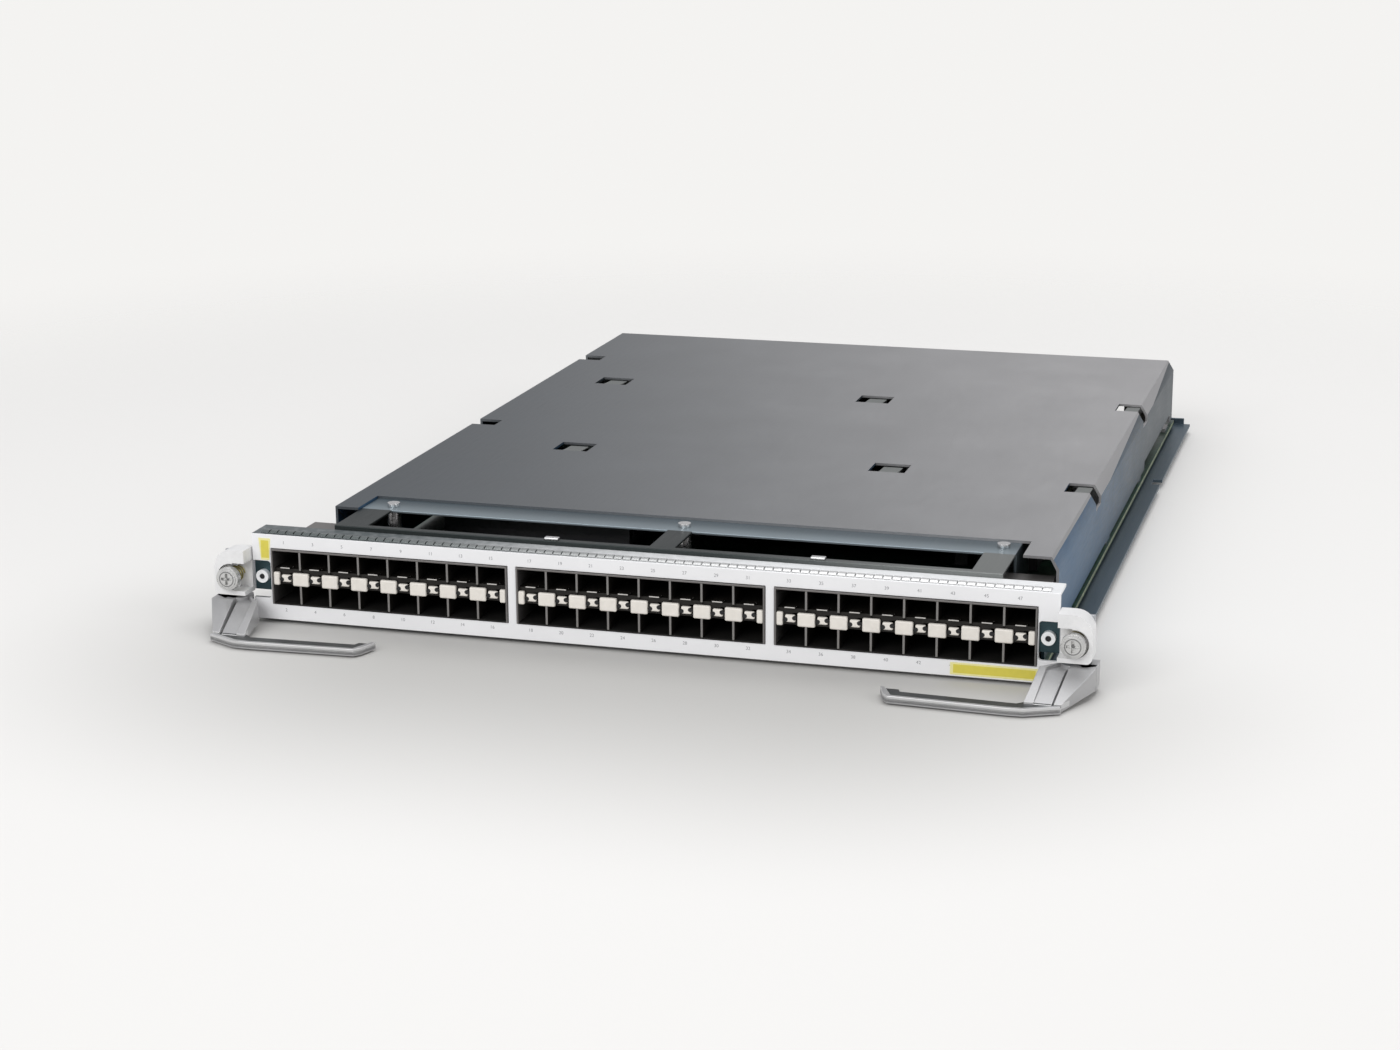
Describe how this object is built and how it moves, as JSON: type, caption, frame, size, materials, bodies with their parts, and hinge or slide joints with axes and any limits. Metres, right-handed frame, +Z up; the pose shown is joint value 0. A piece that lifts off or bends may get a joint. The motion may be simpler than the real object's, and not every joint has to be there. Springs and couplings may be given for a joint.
{
  "type": "network switch line card",
  "caption": "Chassis switch line card: circuit board in a sheet-metal carrier under a folded cover, with ganged module ports, swinging ejector levers and sprung captive screws.",
  "frame": {"origin": "centre of the footprint, at the height of the lever handles' underside", "axes": "+X along the faceplate to the right seen from the front, +Y from the faceplate to the backplane plugs, +Z up out of the cover"},
  "size_m": [0.4068, 0.535, 0.0457],
  "materials": {
    "faceplate": "zinc-plated sheet, satin",
    "contact_strip": "bright tinned spring strip",
    "cage": "plated cage sheet, satin",
    "port_block": "ivory moulded block",
    "port_socket": "black connector resin",
    "tray": "blue-passivated zinc, satin",
    "insulator": "thin black film",
    "board": "green solder mask",
    "fixing": "plated machine screw",
    "spacer": "tinned brass",
    "cover": "zinc-plated sheet, satin grey",
    "air_frame": "zinc-plated sheet, satin grey",
    "bracket": "zinc-plated sheet",
    "hub": "powder-coated casting, light grey",
    "lever": "powder-coated casting, grey",
    "pivot": "ground pin",
    "captive_screw": "nickel-plated, satin",
    "spring": "spring wire",
    "chip": "black package",
    "heat_sink": "dark anodised",
    "memory": "green module board",
    "resin": "black resin",
    "plug": "natural resin",
    "label": "plain printed film"
  },
  "bodies": {
    "root": {"faceplate": "faceplate", "contact_strip_top": "contact_strip", "contact_strip_bottom": "contact_strip", "carrier_tray": "tray", "insulator_sheet": "insulator", "main_board": "board", "board_spacers": "spacer", "board_screws": "fixing", "cover_screws": "fixing", "top_cover": "cover", "air_frame": "air_frame", "frame_posts": "spacer", "frame_screws": "fixing", "frame_clips": "fixing", "ring_screws": "fixing", "switch_chips": "chip", "heat_sink_a": "heat_sink", "heat_sink_b": "heat_sink", "heat_sink_c": "heat_sink", "memory_sockets": "resin", "memory_modules": "memory", "power_bricks": "resin", "backplane_plugs": "plug", "power_plug": "resin", "guide_sockets": "plug", "port_labels": "label", "cage_shell_1": "cage", "cage_floor_1": "cage", "cage_septa_1": "cage", "cage_shelves_1": "cage", "light_pipes_1": "port_block", "port_sockets_1": "port_socket", "cage_shell_2": "cage", "cage_floor_2": "cage", "cage_septa_2": "cage", "cage_shelves_2": "cage", "light_pipes_2": "port_block", "port_sockets_2": "port_socket", "cage_shell_3": "cage", "cage_floor_3": "cage", "cage_septa_3": "cage", "cage_shelves_3": "cage", "light_pipes_3": "port_block", "port_sockets_3": "port_socket", "ejector_bracket_left": "bracket", "ejector_hub_left": "hub", "pivot_pin_left": "pivot", "screw_spring_left": "spring", "ejector_bracket_right": "bracket", "ejector_hub_right": "hub", "pivot_pin_right": "pivot", "screw_spring_right": "spring"},
    "lever_left": {"ejector_lever_left": "lever"},
    "collar_left": {"screw_collar_left": "captive_screw"},
    "screw_left": {"captive_screw_left": "captive_screw"},
    "lever_right": {"ejector_lever_right": "lever"},
    "collar_right": {"screw_collar_right": "captive_screw"},
    "screw_right": {"captive_screw_right": "captive_screw"}
  },
  "joints": [
    {"name": "lever_left_swing", "type": "hinge", "parent": "root", "child": "lever_left", "pos_m": [-0.1914, -0.2271, 0.007], "axis": [0, 0, -1], "range_deg": [0, 75]},
    {"name": "screw_left_travel", "type": "slide", "parent": "root", "child": "collar_left", "axis": [0, 1, 0], "range_m": [0, 0.0045], "stiffness_N_per_m": 300, "springref_m": -0.003, "deforming": ["screw_spring_left"]},
    {"name": "screw_left_turn", "type": "hinge", "parent": "collar_left", "child": "screw_left", "pos_m": [-0.1914, -0.2265, 0.023], "axis": [0, 1, 0], "continuous": true},
    {"name": "lever_right_swing", "type": "hinge", "parent": "root", "child": "lever_right", "pos_m": [0.1914, -0.2271, 0.007], "axis": [0, 0, 1], "range_deg": [0, 75]},
    {"name": "screw_right_travel", "type": "slide", "parent": "root", "child": "collar_right", "axis": [0, 1, 0], "range_m": [0, 0.0045], "stiffness_N_per_m": 300, "springref_m": -0.003, "deforming": ["screw_spring_right"]},
    {"name": "screw_right_turn", "type": "hinge", "parent": "collar_right", "child": "screw_right", "pos_m": [0.1914, -0.2265, 0.023], "axis": [0, 1, 0], "continuous": true}
  ]
}
